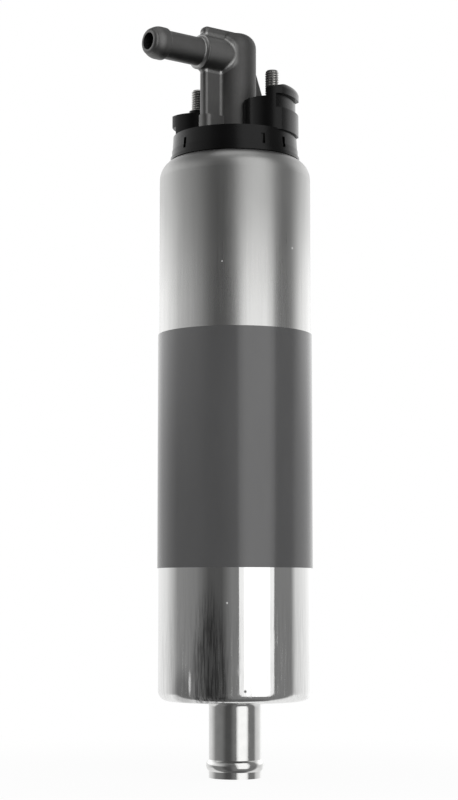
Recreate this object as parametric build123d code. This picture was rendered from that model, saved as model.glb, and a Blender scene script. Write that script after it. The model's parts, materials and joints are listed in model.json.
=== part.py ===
"""In-line electric fuel pump: a roller-crimped steel body with a hose stub at the foot,
a black end cover with two terminal studs and a cast elbow at the top, and inside it a
motor, an internal-gear pump stage, two brushes and two sprung valves.

Millimetres. The origin is the centre of the inlet stub's mouth, +Z runs up the pump's
axis to the outlet, and the outlet nozzle points along -X.
"""

from build123d import *
from math import acos, atan2, cos, degrees, hypot, pi, radians, sin, sqrt
import os

# Clearances
fit_gap = 0.05          # radial, between pieces that stay put in their seats
run_gap = 0.05          # radial, between a shaft and its bush
mesh_gap = 0.1          # between the two rotors' flanks
slide_gap = 0.12        # each side of a brush in its guide
face_gap = 0.2          # end clearance of what turns between fixed faces
air_gap = 0.6           # between the armature and the magnets
rest_gap = 0.05         # between a valve and its seat, and a brush and the commutator
shaft_clearance = 0.2   # radial, where the shaft passes through a plate
cut_over = 1.0          # how far a cut runs past the face that it opens

# Inlet stub
stub_length = 21.1
stub_radius = 7.3
stub_bore = 6.1
stub_root = 1.6         # fillet where the stub meets the cover
bead_radius = 8.05
bead_height = 3.4       # middle of the hose bead above the mouth
bead_width = 3.2

# Shell: a tube rolled in at both ends
body_radius = 21.5
shell_wall = 1.0
shell_straight = 147.1  # from the foot to where the upper shoulder starts
foot_corner = 2.8
foot_lip = 5.0          # how far the foot turns in
shoulder_radius = 6.0
shoulder_reach = 3.4    # how far the shoulder turns in

# Sleeve round the middle of the body
sleeve_wall = 0.3
sleeve_gap = 0.02
sleeve_rise = 36.7      # from the body's foot to the sleeve's lower edge
sleeve_length = 65.8

# Inlet cover, its seal and its strainer
cover_plate = 3.0
cover_skirt = 6.0
cover_skirt_wall = 2.95
ring_radius = 0.8       # section radius of the body's sealing rings
strainer_wall = 0.6
strainer_rim = 1.0
strainer_step = 1.5     # height of the step that the strainer sits on
strainer_hole = 0.55
strainer_rings = 5

# Pump stage
inlet_plate_height = 6.0
gear_width = 8.0
outlet_plate_height = 7.0
outer_lobes = 7
lobe_circle = 9.6       # radius through the centres of the outer rotor's lobes
lobe_radius = 2.6
eccentricity = 1.1
outer_rotor_radius = 12.0
port_span = 130.0
port_margin = 0.3       # how far a port stays inside the rotors' chambers
screw_count = 3
screw_radius = 1.45
screw_head = 2.6
screw_head_height = 2.0
screw_socket = 1.43     # from the screw's axis to its hexagon socket's corners
screw_end = 1.9         # from the inlet plate's lower face to a screw's tip
screw_edge = 3.4        # from a screw's axis to the plates' rim

# Relief valve, beside the rotors
relief_bore = 2.2
relief_edge = 5.2       # from the valve's axis to the plates' rim
relief_port = 1.2
relief_ball_radius = 1.9
relief_seat_depth = 4.0
relief_plug_height = 2.0
relief_wire = 0.225
relief_coil = 1.6
relief_turns = 7

# Shaft and bearings
shaft_radius = 2.5
shaft_flat = 2.0        # from the axis to each driving flat
shaft_bevel = 0.3
bush_radius = 4.5
lower_bush_height = 6.5
upper_bush_height = 7.0
shaft_end_depth = 3.1   # how far the shaft's tip goes into the inlet plate
washer_height = 0.8
coupling_radius = 3.9
coupling_height = 3.8
coupling_lug = 5.1
coupling_lug_width = 2.6

# Motor
flux_wall = 1.6
magnet_wall = 3.5
magnet_arc = 130.0
magnet_inset = 7.5      # each end, from the flux tube's end
clip_wall = 0.8
stack_inset = 12.9      # each end, from the flux tube's end to the laminations
slot_count = 8
slot_width = 3.2
slot_floor = 7.0        # radius of the slots' floor
slot_mouth = 1.2
tooth_tip = 1.3
winding_overhang = 8.0
winding_inner = 4.5
winding_round = 2.4
commutator_radius = 12.5
commutator_inner = 4.0
commutator_height = 3.5
commutator_slot = 0.5
commutator_slot_depth = 1.2
hub_height = 2.5
hub_inset = 1.0         # how far the hub stays inside and below the copper face

# Brushes and their holder
holder_height = 17.0
holder_deck = 3.0
holder_wall = 2.05
brush_circle = 9.0
brush_depth = 5.0       # along the pump's radius
brush_width = 6.0
brush_length = 9.45
guide_wall = 1.2
contact_height = 0.8
bearing_boss = 5.9
flow_window = 3.4
flow_circle = 13.6
flow_angles = (-135.0, -90.0, -45.0)    # of the windows, from each brush
brush_wire = 0.25
brush_coil = 1.9
brush_turns = 8

# End cover
end_skirt = 18.0        # below the shoulder
end_skirt_wall = 2.4
rim_gap = 0.05
rim_wall = 3.0
cap_rise = 13.8         # from the shoulder's start to the cover's top face
cap_plate = 4.0
rim_bevel = 5.5
rim_bevel_height = 1.3
rim_step = 5.5          # from the cover's top face to the step in its rim
rim_step_in = 0.15
rim_draft = 0.25        # how much the rim narrows above its step
crimp_lip = 0.4         # the small lip round the rim, just above the shell
crimp_lip_height = 0.9
notch_width = 1.1
notch_depth = 0.8
notch_height = 3.0
notch_drop = 2.2        # from the rim's upper edge to the notches
notch_angles = (0.0, 78.0, 102.0)
socket_wall = 2.6       # round the elbow's spigot
socket_depth = 16.5

# Terminals
stud_radius = 2.0
shank_radius = 2.3      # of the stud where it passes through the cover
stud_circle = 11.7
stud_angle = -63.0      # the plus stud, seen from above; the minus stud is opposite
stud_bevel = 0.5
plus_rise = 17.2        # stud tips above the cover's top face
minus_rise = 14.0
stud_head_depth = 5.0
stud_head_width = 8.0
stud_head_height = 2.0
washer_radius = 2.85
choke_core = 1.8
choke_coil = 2.6
choke_end = 3.0         # bare core at each end of the choke
boss_radius = 8.2       # round the studs, cut off at the cover's outline
boss_sink = 1.6         # how far the bosses reach below the cover's top face
plus_boss_height = 8.0
plus_ledge_height = 4.7
plus_waist_height = 8.7
plus_wall_height = 12.1
wall_crown = 21.0       # radius of the wall's crowned top, seen along the stud's radius
wall_inner = 4.2
wall_span = 156.0
wall_corner = 1.8
ledge_out = 0.25        # how far each step stands out from or inside the rim
waist_in = 0.65
lip_out = 0.35
minus_boss_height = 5.5
minus_recess_height = 2.1
minus_recess_in = 1.05
collar_radius = 2.65    # of the small collar round the minus stud
collar_height = 7.8

# Outlet elbow
elbow_rise = 29.7       # above the cover's top face
column_radius = 6.1
column_drop = 0.6       # how far the column's top lies below the web's
column_roof = 4.2       # rounding over the column's top
spigot_radius = 6.2
collar_out = 1.6
collar_thickness = 2.0
web_reach = 12.0        # from the pump's axis to the web's front face
web_back = 5.0          # from the pump's axis to where the web ends behind
web_thickness = 3.0
web_edge = 1.2          # rounding of the web's outer edges
web_corner = 1.8        # of the web's upper corner in front, seen from the side
web_fall = 3.5          # of its upper corner behind
web_root = 1.3          # fillet between the web and the column
boss_root = 1.2         # fillet round the nozzle's boss
rib_root = 0.8
nozzle_drop = 7.8       # from the elbow's top to the nozzle's axis
nozzle_boss = 4.9
nozzle_boss_reach = 12.9
nozzle_radius = 4.0
nozzle_bore = 2.4
nozzle_reach = 30.7
nozzle_flare = 0.65
flare_bow = 0.15        # how far each rounded step of the nozzle bows from its chord
barb_radius = 4.58
barb_start = 25.4
barb_shoulder = 0.5
shoulder_bow = 0.19
barb_land = 1.6
taper_bow = 0.2
nozzle_tip = 2.9
tip_round = 0.85
tip_bow = 0.2
pad_height = 3.9
pad_out = 0.8           # how far the foot pad stands out beside the web
pad_front = 0.3
rib_thickness = 3.0
rib_foot = 12.8
rib_knee = 8.6
rib_knee_rise = 13.0
rib_top_rise = 21.0
rib_tuck = 0.5          # how far the rib's top runs into the column
elbow_ring = 0.75       # section radius of the elbow's sealing ring
elbow_ring_depth = 8.0

# Check valve, in the elbow's spigot
valve_bore = 4.4
valve_step_drop = 1.0   # of the bore's step below the cover's top face
valve_seat_height = 3.0
valve_port = 2.4
poppet_radius = 3.6
poppet_height = 2.2
poppet_nose = 0.6       # how far the poppet's cone reaches into its seat
stem_radius = 1.3
stem_height = 9.0
valve_wire = 0.25
valve_coil = 3.3
valve_turns = 7

# Heights of the stack, worked out from the sizes above
body_foot = stub_length
cover_base = body_foot + shell_wall
skirt_base = cover_base + cover_plate
stage_base = skirt_base + cover_skirt
gear_base = stage_base + inlet_plate_height
gear_top = gear_base + gear_width
stage_top = gear_top + outlet_plate_height
shoulder = body_foot + shell_straight
end_base = shoulder - end_skirt
holder_base = end_base - holder_height
guide_top = end_base - contact_height
cap_top = shoulder + cap_rise
cap_under = cap_top - cap_plate
elbow_top = cap_top + elbow_rise
nozzle_height = elbow_top - nozzle_drop
spigot_base = cap_top - socket_depth - collar_thickness

# Radii that follow the shell
bore_radius = body_radius - shell_wall
core_radius = bore_radius - fit_gap
foot_lip_radius = body_radius - foot_lip
skirt_inner = core_radius - cover_skirt_wall
lip_radius = body_radius - shoulder_reach
rim_radius = lip_radius - rim_gap
flux_inner = core_radius - flux_wall
magnet_outer = flux_inner - fit_gap
magnet_inner = magnet_outer - magnet_wall
stack_radius = magnet_inner - air_gap
relief_circle = core_radius - relief_edge
screw_circle = core_radius - screw_edge

# Heights in the motor
stack_base = stage_top + stack_inset
stack_top = holder_base - stack_inset - commutator_height - hub_height
hub_base = stack_top + winding_overhang + face_gap
commutator_base = hub_base + hub_height
commutator_top = commutator_base + commutator_height
brush_base = commutator_top + rest_gap
brush_top = brush_base + brush_length

# Relief valve's heights: the ball rests on the edge of its port
relief_seat = stage_top - relief_seat_depth
ball_centre = relief_seat - sqrt(relief_ball_radius ** 2 - relief_port ** 2) - rest_gap
ball_spring_top = ball_centre - sqrt((relief_ball_radius + relief_wire) ** 2 - relief_coil ** 2)

# Check valve's heights
valve_seat_top = spigot_base + valve_seat_height
poppet_base = valve_seat_top + rest_gap
poppet_top = poppet_base + poppet_height
valve_step = cap_top - valve_step_drop

terminals = {"plus": (stud_angle, plus_rise), "minus": (stud_angle + 180.0, minus_rise)}
ABOVE = (Align.CENTER, Align.CENTER, Align.MIN)


def polar(radius, angle):
    """The plan position at a radius and an angle from +X."""
    return radius * cos(radians(angle)), radius * sin(radians(angle))


def disc(radius, bottom, top, centre=(0.0, 0.0)):
    """A round solid between two heights."""
    return Pos(centre[0], centre[1], bottom) * Cylinder(radius, top - bottom, align=ABOVE)


def ring(outer, inner, bottom, top, centre=(0.0, 0.0)):
    """A round solid with a hole through it."""
    return disc(outer, bottom, top, centre) - disc(inner, bottom - cut_over, top + cut_over, centre)


def block(x, y, bottom, top, angle=0.0, radius=0.0):
    """A rectangular solid of plan size x by y, centred at a polar place and turned to face it."""
    return Rot(0, 0, angle) * Pos(radius, 0, bottom) * Box(x, y, top - bottom, align=ABOVE)


def turned(*edges):
    """A solid of revolution about the pump's axis from a closed outline in radius and height."""
    return revolve(Plane.XZ * make_face(Curve() + list(edges)), Axis.Z)


def turned_points(*points):
    """A solid of revolution from the corners of its outline."""
    return turned(Polyline(*points, close=True))


def sector(outer, inner, bottom, top, middle, span):
    """Part of a ring, given by its middle direction and its span in degrees."""
    first = middle - span / 2
    last = middle + span / 2
    outline = Curve() + [
        CenterArc((0, 0), outer, first, span),
        Line(polar(outer, last), polar(inner, last)),
        CenterArc((0, 0), inner, first, span),
        Line(polar(inner, first), polar(outer, first)),
    ]
    return Pos(0, 0, bottom) * extrude(make_face(outline), top - bottom)


def torus_ring(centre_radius, section, height):
    """A round sealing ring lying level."""
    return Pos(0, 0, height) * Torus(centre_radius, section)


def coil_spring(radius, wire, bottom, top, turns, centre=(0.0, 0.0)):
    """A round-wire spring standing between two flat faces, as quarter-turn arcs."""
    low = bottom + wire
    rise = top - bottom - 2 * wire
    quarters = 4 * turns

    def place(quarter):
        x, y = polar(radius, 90.0 * quarter)
        return centre[0] + x, centre[1] + y, low + rise * quarter / quarters

    arcs = [ThreePointArc(place(q), place(q + 0.5), place(q + 1)) for q in range(quarters)]
    path = Wire(arcs)
    section = Plane(origin=path @ 0, z_dir=path % 0) * Circle(wire)
    return sweep(section, path=path)


def shell():
    """The steel tube, rolled in at the foot and over the end cover's shoulder."""
    middle = body_radius - shoulder_radius
    inner = shoulder_radius - shell_wall
    reach = lip_radius - middle
    outer_arc = degrees(acos(reach / shoulder_radius))
    inner_arc = degrees(acos(reach / inner))
    corner = body_radius - foot_corner
    corner_height = body_foot + foot_corner
    return turned(
        Line((foot_lip_radius, body_foot), (corner, body_foot)),
        CenterArc((corner, corner_height), foot_corner, -90, 90),
        Line((body_radius, corner_height), (body_radius, shoulder)),
        CenterArc((middle, shoulder), shoulder_radius, 0, outer_arc),
        Line(
            (lip_radius, shoulder + shoulder_radius * sin(radians(outer_arc))),
            (lip_radius, shoulder + inner * sin(radians(inner_arc))),
        ),
        CenterArc((middle, shoulder), inner, 0, inner_arc),
        Line((bore_radius, shoulder), (bore_radius, corner_height)),
        CenterArc((corner, corner_height), foot_corner - shell_wall, -90, 90),
        Line((corner, cover_base), (foot_lip_radius, cover_base)),
        Line((foot_lip_radius, cover_base), (foot_lip_radius, body_foot)),
    )


def body_sleeve():
    """The thin dark sleeve round the middle of the body."""
    low = body_foot + sleeve_rise
    inner = body_radius + sleeve_gap
    return ring(inner + sleeve_wall, inner, low, low + sleeve_length)


def seal_groove(height):
    """The groove that a body sealing ring lies in."""
    floor = core_radius - 2 * ring_radius
    return ring(core_radius + cut_over, floor, height - ring_radius, height + ring_radius)


def inlet_seal_height():
    return stage_base - cover_skirt / 2


def inlet_cover():
    """The foot cover: a flat plate with the hose stub below and a skirt above."""
    corner = foot_corner - shell_wall + fit_gap
    boss = foot_lip_radius - 2 * fit_gap
    plate = disc(core_radius, cover_base, stage_base)
    plate = fillet(plate.edges().group_by(Axis.Z)[0], corner)
    stub = disc(stub_radius, 0, body_foot + stub_root)
    face = disc(boss, body_foot, cover_base)
    cover = plate + face + stub
    root = [e for e in cover.edges().filter_by(GeomType.CIRCLE)
            if abs(e.radius - stub_radius) < 0.01 and abs(e.arc_center.Z - body_foot) < 0.01]
    cover = fillet(root, stub_root)
    half = bead_width / 2
    inside = stub_radius - cut_over
    bead = turned(
        Line((inside, bead_height - half), (stub_radius, bead_height - half)),
        ThreePointArc(
            (stub_radius, bead_height - half), (bead_radius, bead_height), (stub_radius, bead_height + half)
        ),
        Line((stub_radius, bead_height + half), (inside, bead_height + half)),
        Line((inside, bead_height + half), (inside, bead_height - half)),
    )
    chamber = disc(skirt_inner - strainer_rim / 2, skirt_base, stage_base + cut_over)
    chamber += disc(skirt_inner, skirt_base + strainer_step, stage_base + cut_over)
    bore = disc(stub_bore, -cut_over, skirt_base + cut_over)
    return cover + bead - chamber - bore - seal_groove(inlet_seal_height())


def inlet_seal():
    return torus_ring(core_radius - ring_radius, ring_radius - fit_gap / 2, inlet_seal_height())


def inlet_strainer():
    """A pressed pan with rings of small holes, held between the cover's step and the stage."""
    outer = skirt_inner - fit_gap
    low = skirt_base + strainer_step
    inner = outer - strainer_rim
    pan = disc(outer, low, stage_base) - disc(inner, low + strainer_wall, stage_base + cut_over)
    floor_top = low + strainer_wall
    holes = [disc(strainer_hole, low - cut_over, floor_top + cut_over)]
    spacing = (inner - 3 * strainer_hole) / strainer_rings
    for step in range(1, strainer_rings + 1):
        count = 6 * step
        for index in range(count):
            place = polar(step * spacing, 360.0 * index / count)
            holes.append(disc(strainer_hole, low - cut_over, floor_top + cut_over, place))
    return pan - holes


def screw_places():
    return [polar(screw_circle, 360.0 * n / screw_count) for n in range(screw_count)]


def relief_place():
    return polar(relief_circle, 180.0)


def kidney_port(bottom, top, middle):
    """The curved opening that feeds the chambers between the rotors."""
    outer = lobe_circle - lobe_radius + eccentricity + port_margin
    inner = lobe_circle - lobe_radius - eccentricity - port_margin
    return sector(outer, inner, bottom, top, middle, port_span)


def pump_inlet_plate():
    """The stage's lower plate, with the suction port, the shaft's pilot and the valve's plug."""
    plate = disc(core_radius, stage_base, gear_base)
    plate -= kidney_port(stage_base - cut_over, gear_base + cut_over, 90.0)
    plate -= disc(shaft_radius + run_gap, gear_base - shaft_end_depth - face_gap, gear_base + cut_over)
    plate -= disc(relief_bore, stage_base - cut_over, gear_base + cut_over, relief_place())
    tips = stage_base + screw_end - face_gap
    for place in screw_places():
        plate -= disc(screw_radius + fit_gap, tips, gear_base + cut_over, place)
    return plate


def gear_housing():
    """The ring round the outer rotor, its bore set off the pump's axis."""
    low = gear_base - cut_over
    high = gear_top + cut_over
    housing = disc(core_radius, gear_base, gear_top)
    housing -= disc(outer_rotor_radius + run_gap, low, high, (eccentricity, 0))
    housing -= disc(relief_bore, low, high, relief_place())
    for place in screw_places():
        housing -= disc(screw_radius + fit_gap, low, high, place)
    return housing


def inner_profile(angle):
    """A point on the inner rotor: the inside envelope of the outer rotor's round lobes."""
    turn = (1 - outer_lobes) * angle
    lean = atan2(sin(turn), lobe_circle / (eccentricity * outer_lobes) - cos(turn))
    flank = lobe_radius + mesh_gap
    x = -lobe_circle * cos(angle) + flank * cos(angle + lean) + eccentricity * cos(outer_lobes * angle)
    y = lobe_circle * sin(angle) - flank * sin(angle + lean) - eccentricity * sin(outer_lobes * angle)
    return x, y


def coupling_outline(radius, lug, width, bottom, top):
    """A round hub with two driving lugs along Y."""
    hub = disc(radius, bottom, top)
    return hub + block(width, 2 * lug, bottom, top)


def inner_rotor():
    """The six-lobed rotor on the shaft."""
    lobes = outer_lobes - 1
    steps = 12
    edges = []
    for lobe in range(lobes):
        angles = [2 * pi * (lobe + step / steps) / lobes for step in range(steps + 1)]
        edges.append(Spline([inner_profile(angle) for angle in angles]))
    low = gear_base + face_gap / 4
    high = gear_top - face_gap / 4
    rotor = Pos(0, 0, low) * extrude(make_face(Curve() + edges), high - low)
    rotor -= disc(shaft_radius + fit_gap, low - cut_over, high + cut_over)
    pocket = coupling_outline(
        coupling_radius + fit_gap, coupling_lug + fit_gap, coupling_lug_width + 2 * fit_gap,
        gear_top - coupling_height - face_gap, gear_top + cut_over,
    )
    return rotor - pocket


def outer_rotor():
    """The seven-lobed ring that the inner rotor turns."""
    low = gear_base + face_gap / 4
    high = gear_top - face_gap / 4
    centre = (eccentricity, 0)
    pocket = lobe_circle - lobe_radius + 2 * eccentricity + 2 * mesh_gap
    rotor = ring(outer_rotor_radius, pocket, low, high, centre)
    for lobe in range(outer_lobes):
        x, y = polar(lobe_circle, 180.0 + 360.0 * lobe / outer_lobes)
        rotor += disc(lobe_radius, low, high, (x + eccentricity, y))
    return rotor & disc(outer_rotor_radius, low, high, centre)


def pump_outlet_plate():
    """The stage's upper plate, with the lower bush, the pressure port and the valve's port."""
    plate = disc(core_radius, gear_top, stage_top)
    plate -= kidney_port(gear_top - cut_over, stage_top + cut_over, -90.0)
    plate -= disc(bush_radius + fit_gap, stage_top - lower_bush_height, stage_top + cut_over)
    plate -= disc(shaft_radius + shaft_clearance, gear_top - cut_over, stage_top)
    plate -= disc(relief_bore, gear_top - cut_over, relief_seat, relief_place())
    plate -= disc(relief_port, relief_seat - cut_over, stage_top + cut_over, relief_place())
    for place in screw_places():
        plate -= disc(screw_radius + fit_gap, gear_top - cut_over, stage_top + cut_over, place)
        plate -= disc(screw_head + fit_gap, stage_top - screw_head_height, stage_top + cut_over, place)
    return plate


def pump_screws():
    """The screws that clamp the stage's plates together."""
    socket = extrude(RegularPolygon(screw_socket, 6), screw_head_height / 2)
    screws = []
    for place in screw_places():
        screw = disc(screw_radius, stage_base + screw_end, stage_top, place)
        screw += disc(screw_head, stage_top - screw_head_height, stage_top, place)
        screw -= Pos(place[0], place[1], stage_top - screw_head_height / 2) * socket
        screws.append(screw)
    return screws


def relief_ball():
    x, y = relief_place()
    return Pos(x, y, ball_centre) * Sphere(relief_ball_radius)


def relief_plug():
    """The drilled plug that the relief spring stands on."""
    top = stage_base + relief_plug_height
    return ring(relief_bore - fit_gap, relief_port, stage_base, top, relief_place())


def relief_spring():
    low = stage_base + relief_plug_height
    top = ball_spring_top + relief_wire
    return coil_spring(relief_coil, relief_wire, low, top, relief_turns, relief_place())


def lower_bush():
    return ring(bush_radius, shaft_radius + run_gap, stage_top - lower_bush_height, stage_top)


def armature_shaft():
    """The steel shaft, with two driving flats at its lower end."""
    tip = gear_base - shaft_end_depth
    shaft = disc(shaft_radius, tip, guide_top - rest_gap)
    flats_top = gear_top - face_gap / 2
    flats_base = gear_top - coupling_height - face_gap
    width = shaft_radius - shaft_flat
    for side in (-1, 1):
        y = side * (shaft_flat + width)
        shaft -= Pos(0, y, flats_base) * Box(
            4 * shaft_radius, 2 * width, flats_top - flats_base, align=ABOVE
        )
    return chamfer(shaft.edges().filter_by(GeomType.CIRCLE).group_by(Axis.Z)[0], shaft_bevel)


def drive_coupling():
    """The moulded dog that carries the shaft's flats to the inner rotor."""
    top = gear_top - face_gap
    low = top - coupling_height + face_gap
    dog = coupling_outline(coupling_radius, coupling_lug, coupling_lug_width, low, top)
    hole = disc(shaft_radius + fit_gap, low - cut_over, top + cut_over)
    hole &= Pos(0, 0, low - cut_over) * Box(
        4 * shaft_radius, 2 * (shaft_flat + fit_gap), top - low + 2 * cut_over, align=ABOVE
    )
    return dog - hole


def thrust_washer():
    low = stage_top + face_gap
    return ring(bush_radius, shaft_radius + fit_gap, low, low + washer_height)


def slot_shape(width, floor, top_radius, bottom, top, angle):
    """One armature slot, round at both ends."""
    half = width / 2
    slot = block(top_radius - floor - width, width, bottom, top, angle, (top_radius + floor) / 2)
    slot += disc(half, bottom, top, polar(floor + half, angle))
    return slot + disc(half, bottom, top, polar(top_radius - half, angle))


def slot_angles():
    return [360.0 * n / slot_count for n in range(slot_count)]


def lamination_stack():
    """The armature's iron, with a slot between every two teeth."""
    stack = ring(stack_radius, shaft_radius + fit_gap, stack_base, stack_top)
    slot_top = stack_radius - tooth_tip
    low = stack_base - cut_over
    high = stack_top + cut_over
    for angle in slot_angles():
        stack -= slot_shape(slot_width, slot_floor, slot_top, low, high, angle)
        stack -= block(2 * tooth_tip, slot_mouth, low, high, angle, slot_top + tooth_tip / 2)
    return stack


def end_turns(bottom, top):
    """The wound ring past one end of the iron."""
    outer = stack_radius - tooth_tip
    turns = ring(outer, winding_inner, bottom, top)
    return fillet(turns.edges().filter_by(GeomType.CIRCLE), winding_round)


def armature_windings():
    """The coils in the slots, with their end turns."""
    wires = end_turns(stack_base - winding_overhang, stack_base - face_gap)
    wires += end_turns(stack_top + face_gap, stack_top + winding_overhang)
    slot_top = stack_radius - tooth_tip - fit_gap
    for angle in slot_angles():
        wires += slot_shape(
            slot_width - 2 * fit_gap, slot_floor + fit_gap, slot_top,
            stack_base - winding_overhang / 2, stack_top + winding_overhang / 2, angle,
        )
    return wires


def commutator_hub():
    """The moulded hub that carries the copper face."""
    bore = shaft_radius + fit_gap
    hub = ring(commutator_radius - hub_inset, bore, hub_base, commutator_base)
    return hub + ring(commutator_inner - fit_gap, bore, commutator_base, commutator_top - hub_inset)


def commutator():
    """The flat copper face that the brushes press on, cut into bars."""
    face = ring(commutator_radius, commutator_inner, commutator_base, commutator_top)
    reach = commutator_radius + cut_over
    low = commutator_top - commutator_slot_depth
    high = commutator_top + cut_over
    for angle in slot_angles():
        face -= block(reach, commutator_slot, low, high, angle + 180.0 / slot_count, reach / 2)
    return face


def flux_tube():
    """The return ring round the magnets, between the stage and the brush holder."""
    return ring(core_radius, flux_inner, stage_top, holder_base)


def magnet_angle(side):
    return stud_angle + 90.0 + 180.0 * side


def magnet(side):
    return sector(
        magnet_outer, magnet_inner, stage_top + magnet_inset, holder_base - magnet_inset,
        magnet_angle(side), magnet_arc,
    )


def magnet_clips():
    """The two sprung clips that spread the magnets against the flux tube."""
    low = stage_top + magnet_inset
    high = holder_base - magnet_inset
    gap = 180.0 - magnet_arc - 2 * degrees(fit_gap / magnet_inner)
    leg = degrees(clip_wall / magnet_inner)
    clips = []
    for side in (0, 1):
        middle = magnet_angle(side) + 90.0
        clip = sector(magnet_outer, magnet_outer - clip_wall, low, high, middle, gap)
        for end in (-1, 1):
            clip += sector(
                magnet_outer, magnet_inner + clip_wall, low, high, middle + end * (gap - leg) / 2, leg
            )
        clips.append(clip)
    return clips


def brush_holder():
    """The moulded plate with the brush guides and the upper bush's boss."""
    holder = ring(core_radius, core_radius - holder_wall, holder_base, end_base)
    holder += disc(core_radius, holder_base, holder_base + holder_deck)
    holder += disc(bearing_boss, holder_base, guide_top)
    for angle, _ in terminals.values():
        holder += block(
            brush_depth + 2 * (slide_gap + guide_wall), brush_width + 2 * (slide_gap + guide_wall),
            holder_base, guide_top, angle, brush_circle,
        )
        holder -= block(
            brush_depth + 2 * slide_gap, brush_width + 2 * slide_gap,
            holder_base - cut_over, guide_top + cut_over, angle, brush_circle,
        )
        for turn in flow_angles:
            holder -= disc(
                flow_window, holder_base - cut_over, holder_base + holder_deck + cut_over,
                polar(flow_circle, angle + turn),
            )
    holder -= disc(shaft_radius + shaft_clearance, holder_base - cut_over, guide_top + cut_over)
    return holder - disc(bush_radius + fit_gap, guide_top - upper_bush_height, guide_top + cut_over)


def upper_bush():
    return ring(bush_radius, shaft_radius + run_gap, guide_top - upper_bush_height, guide_top)


def brush(angle):
    return block(brush_depth, brush_width, brush_base, brush_top, angle, brush_circle)


def brush_spring(angle):
    place = polar(brush_circle, angle)
    return coil_spring(brush_coil, brush_wire, brush_top, guide_top, brush_turns, place)


def contact_plate(angle):
    """The brass plate over a brush guide, which its spring pushes against."""
    return block(
        brush_depth + 2 * (slide_gap + guide_wall), brush_width + 2 * (slide_gap + guide_wall),
        guide_top, end_base, angle, brush_circle,
    )


def suppression_choke(angle):
    """The interference choke between a contact plate and its stud."""
    place = polar(stud_circle, angle)
    low = end_base
    high = cap_under - washer_height - stud_head_height
    choke = disc(choke_core, low, high, place)
    return choke + disc(choke_coil, low + choke_end, high - choke_end, place)


def terminal_stud(angle, rise):
    """A stud with the flat head that keys it under the cover."""
    place = polar(stud_circle, angle)
    head_top = cap_under - washer_height
    rod = disc(stud_radius, head_top, cap_top + rise, place)
    rod = chamfer(rod.edges().group_by(Axis.Z)[-1], stud_bevel)
    rod += disc(shank_radius, head_top, cap_top + plus_boss_height, place)
    return rod + block(
        stud_head_depth, stud_head_width, head_top - stud_head_height, head_top, angle, stud_circle
    )


def stud_seals():
    """The washers that seal the studs under the cover."""
    seals = []
    low = cap_under - washer_height
    for angle, _ in terminals.values():
        place = polar(stud_circle, angle)
        seals.append(ring(washer_radius, shank_radius + fit_gap, low, cap_under, place))
    return seals


def outlined(shape, radius, bottom, top):
    """What of a shape lies inside a round outline and between two heights."""
    return shape & disc(radius, bottom, top)


def plus_tower():
    """The stepped boss under the plus stud, with the curved wall that shields it."""
    place = polar(stud_circle, stud_angle)
    foot = cap_top - boss_sink
    wall_top = cap_top + plus_wall_height
    post = disc(boss_radius, foot, wall_top, place)
    tower = outlined(post, rim_radius + ledge_out, foot, cap_top + plus_ledge_height)
    tower += outlined(post, rim_radius - waist_in, cap_top, cap_top + plus_boss_height)
    wall = Pos(place[0], place[1], 0) * sector(
        boss_radius, wall_inner, cap_top + plus_boss_height, wall_top, stud_angle, wall_span
    )
    low = outlined(wall, rim_radius - waist_in, cap_top + plus_boss_height, cap_top + plus_waist_height)
    lip = disc(rim_radius + lip_out, cap_top + plus_waist_height, wall_top)
    lip = fillet(lip.edges().group_by(Axis.Z)[-1], wall_corner)
    crown = Pos(0, 0, wall_top - wall_crown) * Rot(0, 0, stud_angle) * Rot(0, 90, 0)
    return tower + low + (wall & lip & crown * Cylinder(wall_crown, 2 * body_radius, align=ABOVE))


def minus_pedestal():
    """The lower boss under the minus stud, undercut below its lip, with a small collar."""
    place = polar(stud_circle, stud_angle + 180.0)
    low = cap_top - boss_sink
    high = cap_top + minus_boss_height
    post = disc(boss_radius, low, high, place)
    pedestal = outlined(post, rim_radius - minus_recess_in, low, high)
    pedestal += outlined(post, rim_radius, cap_top + minus_recess_height, high)
    return pedestal + disc(collar_radius, cap_top, cap_top + collar_height, place)


def column_and_web_plan(margin, top):
    """The column and the web's foot, blended together in plan, grown by a margin."""
    radius = column_radius + margin
    reach = web_reach + margin
    half = web_thickness / 2 + margin
    plan = Circle(radius) + Pos(-reach / 2, 0) * Rectangle(reach, 2 * half)
    plan = fillet([corner for corner in plan.vertices() if abs(corner.X + reach) < 0.01], web_edge + margin)
    seams = [corner for corner in plan.vertices()
             if abs(abs(corner.Y) - half) < 0.01 and abs(hypot(corner.X, corner.Y) - radius) < 0.01]
    return Pos(0, 0, cap_top) * extrude(fillet(seams, web_root - margin), top - cap_top)


def elbow_footprint():
    """The room that the elbow's column and its foot pad take above the cover's top face."""
    high = cap_top + plus_wall_height + cut_over
    return column_and_web_plan(fit_gap, high) + foot_pad(fit_gap, high)


def foot_pad(margin, top):
    """The pad under the elbow's web, grown by a margin."""
    length = web_reach + pad_front + margin
    width = web_thickness + 2 * (pad_out + margin)
    pad = Pos(-length / 2, 0, cap_top) * Box(length, width, top - cap_top, align=ABOVE)
    return fillet(pad.edges().filter_by(Axis.Z), web_edge + pad_out + margin)


def end_seal_height():
    return shoulder - end_skirt / 2


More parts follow.
